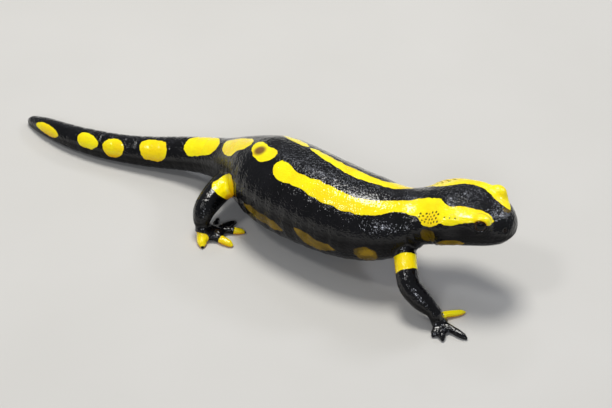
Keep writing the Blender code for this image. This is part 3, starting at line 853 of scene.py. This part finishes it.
def wet_skin():
    """Wet amphibian skin: naked and smooth under a film of slime, so it shines in small broken glints."""
    made, tree, shader = new_material("wet_salamander_skin")
    place = node(tree, "ShaderNodeTexCoord", "Object", {})
    stored = {}
    for name in ("yellow", "dull_and_shade", "strength", "underside_shade", "stain", "pore_and_hole_shade"):
        stored[name] = node(tree, "ShaderNodeAttribute", "Fac", {}, attribute_name=name)
    # the markings' edges wander in lobes of 2 mm and in crumbs of 0.6 mm, by up to 0.12 and 0.05 mm
    for size, reach in ((2.0, 0.12), (0.6, 0.05)):
        inputs = {"Vector": place, "Scale": 1 / (size * MM), "Detail": 1.0}
        lumps = node(tree, "ShaderNodeTexNoise", "Fac", inputs)
        inputs = {"Value": lumps, "From Min": 0.3, "From Max": 0.7, "To Min": -reach, "To Max": reach}
        shift = node(tree, "ShaderNodeMapRange", "Result", inputs, interpolation_type="SMOOTHSTEP")
        for name in ("yellow", "dull_and_shade"):
            stored[name] = node(tree, "ShaderNodeMath", "Value", {0: stored[name], 1: shift}, operation="ADD")
    # each paint is clouded, in lumps of 6 mm, between two shades
    inputs = {"Vector": place, "Scale": 1 / (6.0 * MM), "Detail": 3.0}
    cloud = node(tree, "ShaderNodeTexNoise", "Fac", inputs)
    paints = {}
    for name, start, end, first, second in (
        ("black", 0.35, 0.7, "#060608", "#0d0c10"),
        ("yellow", 0.35, 0.65, "#fff012", "#ffdf0c"),
        ("dull_and_shade", 0.3, 0.7, "#a88612", "#6e580a"),
    ):
        inputs = {"Value": cloud, "From Min": start, "From Max": end}
        share = node(tree, "ShaderNodeMapRange", "Result", inputs, interpolation_type="SMOOTHSTEP")
        inputs = {MIX_SHARE: share, MIX_FIRST: colour(first), MIX_SECOND: colour(second)}
        paints[name] = node(tree, "ShaderNodeMix", MIX_RESULT, inputs, data_type="RGBA")
    # painted shade: the yellow turns to orange underneath and at the edge of the thigh's spot, where it tucks
    # against the body
    inputs = {MIX_SHARE: stored["underside_shade"], MIX_FIRST: paints["yellow"], MIX_SECOND: colour("#f0b008")}
    paints["yellow"] = node(tree, "ShaderNodeMix", MIX_RESULT, inputs, data_type="RGBA")
    # dull patches, partly their own colour and partly painted shade, lie over the black, each as strongly as
    # its own strength
    inputs = {"Value": stored["dull_and_shade"], "From Min": -0.3, "From Max": 0.3}
    share = node(tree, "ShaderNodeMapRange", "Result", inputs, interpolation_type="SMOOTHSTEP")
    share = node(tree, "ShaderNodeMath", "Value", {0: share, 1: stored["strength"]}, operation="MULTIPLY")
    inputs = {MIX_SHARE: share, MIX_FIRST: paints["black"], MIX_SECOND: paints["dull_and_shade"]}
    ground = node(tree, "ShaderNodeMix", MIX_RESULT, inputs, data_type="RGBA")
    # over them the yellow, its brown stain, and the dark of pores and nostrils, which is partly painted shade
    # in
    # their dents: where each starts and is full, and how full
    for name, start, end, most, paint in (
        ("yellow", -0.07, 0.07, 1.0, paints["yellow"]),
        ("stain", 0.0, 0.6, 0.9, colour("#62302a")),
        ("pore_and_hole_shade", 0.25, 0.55, 0.95, colour("#1c0f05")),
    ):
        inputs = {"Value": stored[name], "From Min": start, "From Max": end, "To Max": most}
        share = node(tree, "ShaderNodeMapRange", "Result", inputs, interpolation_type="SMOOTHSTEP")
        inputs = {MIX_SHARE: share, MIX_FIRST: ground, MIX_SECOND: paint}
        ground = node(tree, "ShaderNodeMix", MIX_RESULT, inputs, data_type="RGBA")
    tree.links.new(ground, shader.inputs["Base Color"])
    inputs = {"Value": cloud, "From Min": 0.3, "From Max": 0.7, "To Min": 0.16, "To Max": 0.28}
    rough = node(tree, "ShaderNodeMapRange", "Result", inputs, interpolation_type="SMOOTHSTEP")
    tree.links.new(rough, shader.inputs["Roughness"])
    # the film of slime lies thick on the back and thin underneath
    inputs = {"Value": stored["underside_shade"], "From Min": 0.0, "From Max": 0.6, "To Min": 1.0, "To Max": 0.15}
    film = node(tree, "ShaderNodeMapRange", "Result", inputs, interpolation_type="SMOOTHSTEP")
    tree.links.new(film, shader.inputs["Coat Weight"])
    shader.inputs["Specular IOR Level"].default_value = 0.1
    shader.inputs["IOR"].default_value = 1.42
    shader.inputs["Coat Roughness"].default_value = 0.06
    shader.inputs["Coat IOR"].default_value = 1.4
    # grains of 0.7 mm on wrinkles of 2 mm, weaker on the yellow
    inputs = {"Vector": place, "Scale": 1 / (0.7 * MM), "Detail": 1.0}
    grains = node(tree, "ShaderNodeTexNoise", "Fac", inputs)
    inputs = {"Value": grains, "From Min": 0.35, "From Max": 0.65, "To Max": 0.4}
    grains = node(tree, "ShaderNodeMapRange", "Result", inputs, interpolation_type="SMOOTHSTEP")
    inputs = {"Vector": place, "Scale": 1 / (2.0 * MM), "Detail": 3.0}
    wrinkles = node(tree, "ShaderNodeTexNoise", "Fac", inputs)
    height = node(tree, "ShaderNodeMath", "Value", {0: grains, 1: wrinkles}, operation="ADD")
    inputs = {"Value": stored["yellow"], "From Min": -0.1, "From Max": 0.3, "To Min": 0.65, "To Max": 0.4}
    strength = node(tree, "ShaderNodeMapRange", "Result", inputs, interpolation_type="SMOOTHSTEP")
    inputs = {"Strength": strength, "Distance": 0.2 * MM, "Height": height}
    bump = node(tree, "ShaderNodeBump", "Normal", inputs)
    tree.links.new(bump, shader.inputs["Normal"])
    tree.links.new(bump, shader.inputs["Coat Normal"])
    return made


def wet_eye(name, side):
    """A living eye: a clear wet cornea over an almost black iris, with one sharp glint."""
    made, tree, shader = new_material(name)
    middle, gaze, _, _ = eye_frame(side)
    place = node(tree, "ShaderNodeTexCoord", "Object", {})
    centred = node(tree, "ShaderNodeMapping", 0, {"Vector": place, "Location": tuple(-middle * MM)})
    outward = node(tree, "ShaderNodeVectorMath", "Vector", {0: centred}, operation="NORMALIZE")
    # 1 in the middle of the pupil, less towards the rim
    inputs = {0: outward, 1: tuple(gaze)}
    facing = node(tree, "ShaderNodeVectorMath", "Value", inputs, operation="DOT_PRODUCT")
    inputs = {"Vector": place, "Scale": 1 / (0.35 * MM), "Detail": 3.0}
    flecks = node(tree, "ShaderNodeTexNoise", "Fac", inputs)
    shown = colour("#1c0f08")
    # over the dark iris its brown flecks, the pupil and the eyeball round the iris
    for value, start, end, paint in (
        (flecks, 0.45, 0.7, "#4a2c12"),
        (facing, 0.86, 0.89, "#020202"),
        (facing, 0.60, 0.52, "#0b0806"),
    ):
        inputs = {"Value": value, "From Min": start, "From Max": end}
        share = node(tree, "ShaderNodeMapRange", "Result", inputs, interpolation_type="SMOOTHSTEP")
        inputs = {MIX_SHARE: share, MIX_FIRST: shown, MIX_SECOND: colour(paint)}
        shown = node(tree, "ShaderNodeMix", MIX_RESULT, inputs, data_type="RGBA")
    tree.links.new(shown, shader.inputs["Base Color"])
    shader.inputs["Roughness"].default_value = 0.12
    shader.inputs["IOR"].default_value = 1.376
    shader.inputs["Specular IOR Level"].default_value = 0.15
    shader.inputs["Coat Weight"].default_value = 0.35
    shader.inputs["Coat Roughness"].default_value = 0.02
    return made


def pale_floor():
    """Matt painted board: pale and without gloss, with a faint cloudiness in lumps of 70 mm."""
    made, tree, shader = new_material("matt_pale_board")
    place = node(tree, "ShaderNodeTexCoord", "Object", {})
    inputs = {"Vector": place, "Scale": 1 / (70.0 * MM), "Detail": 3.0}
    cloud = node(tree, "ShaderNodeTexNoise", "Fac", inputs)
    inputs = {MIX_SHARE: cloud, MIX_FIRST: colour("#c3c1bc"), MIX_SECOND: colour("#cdcbc7")}
    paint = node(tree, "ShaderNodeMix", MIX_RESULT, inputs, data_type="RGBA")
    tree.links.new(paint, shader.inputs["Base Color"])
    shader.inputs["Roughness"].default_value = 0.85
    return made


def add_camera():
    """The camera of the photograph."""
    _, _, back = camera_axes()
    place = (np.array(CAMERA_TARGET) + back * CAMERA_DISTANCE) * MM
    data = bpy.data.cameras.new("camera")
    data.sensor_width = 36.0
    data.lens = CAMERA_LENS
    data.clip_start = 0.01
    camera = bpy.data.objects.new("camera", data)
    bpy.context.scene.collection.objects.link(camera)
    camera.location = place
    camera.rotation_euler = Vector(-back).to_track_quat("-Z", "Y").to_euler()
    bpy.context.scene.camera = camera


def add_light(name, place, size, watts, tint):
    """A round lamp that points at the middle of the model."""
    data = bpy.data.lights.new(name, "AREA")
    data.shape = "DISK"
    data.size = size
    data.energy = watts
    data.color = colour(tint)[:3]
    light = bpy.data.objects.new(name, data)
    bpy.context.scene.collection.objects.link(light)
    light.location = place
    light.rotation_euler = (-Vector(place)).to_track_quat("-Z", "Y").to_euler()


def add_studio():
    """The floor, the lamps and the light of the room."""
    deselect()
    bpy.ops.mesh.primitive_plane_add(size=FLOOR_SIZE, location=(0, 0, 0))
    floor = bpy.context.view_layer.objects.active
    floor.name = "floor"
    floor.data.materials.append(pale_floor())
    for name, place, size, watts, tint in LIGHTS:
        add_light(name, place, size, watts, tint)
    world = bpy.data.worlds.new("room")
    world.use_nodes = True
    world.node_tree.nodes["Background"].inputs["Color"].default_value = colour("#e4e8ee")
    world.node_tree.nodes["Background"].inputs["Strength"].default_value = ROOM_LIGHT
    bpy.context.scene.world = world
    bpy.context.scene.view_settings.view_transform = "Standard"


def main():
    add_camera()
    skin = build_skin()
    skin.data.materials.clear()
    skin.data.materials.append(wet_skin())
    for name, side in (("right_eyeball", 1), ("left_eyeball", -1)):
        eye = build_eye(name, side)
        eye.data.materials.append(wet_eye("wet_" + name, side))
    add_studio()


main()
